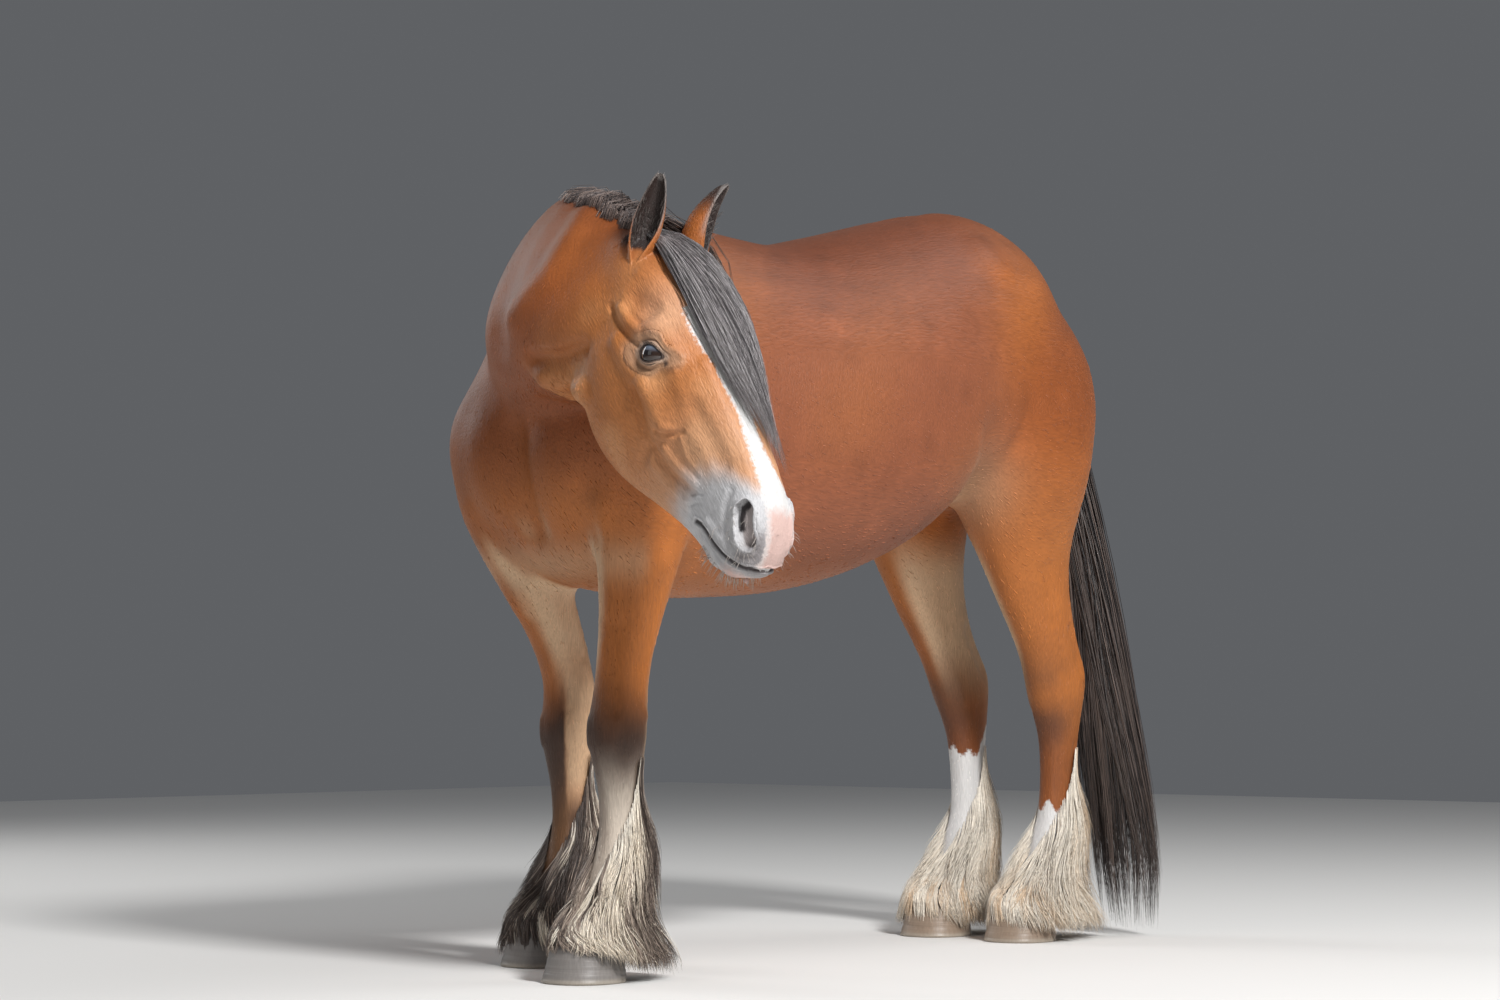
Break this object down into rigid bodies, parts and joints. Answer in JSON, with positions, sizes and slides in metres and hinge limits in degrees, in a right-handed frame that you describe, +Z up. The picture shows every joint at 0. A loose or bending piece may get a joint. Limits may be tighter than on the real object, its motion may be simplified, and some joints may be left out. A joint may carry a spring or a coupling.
{
  "type": "gypsy vanner horse",
  "caption": "Standing bay gypsy cob horse with its neck bent to its left, mane, forelock, long tail and feathered legs, as a still life-size model",
  "frame": {"origin": "on the floor, under the middle of the whole model's box", "axes": "+X the way the chest faces, +Y the horse's left, +Z up"},
  "size_m": [1.8608, 1.0146, 1.501],
  "materials": {
    "coat": "short, sleek red bay hair over flesh",
    "hair": "long black hair with a soft sheen",
    "leg_hair": "short hair on the limb, long feather below, cream behind, dark and cream in front",
    "ear": "short hair outside, dark skin inside",
    "horn": "grey hoof horn with fine growth rings",
    "eye": "wet, dark brown eye"
  },
  "bodies": {
    "root": {"head": "coat", "neck": "coat", "torso": "coat", "tail": "hair", "eye_left": "eye", "eye_right": "eye", "ear_left": "ear", "ear_right": "ear", "leg_fore_left": "leg_hair", "leg_fore_right": "leg_hair", "leg_hind_left": "leg_hair", "leg_hind_right": "leg_hair", "hoof_fore_left": "horn", "hoof_fore_right": "horn", "hoof_hind_left": "horn", "hoof_hind_right": "horn"}
  },
  "joints": []
}
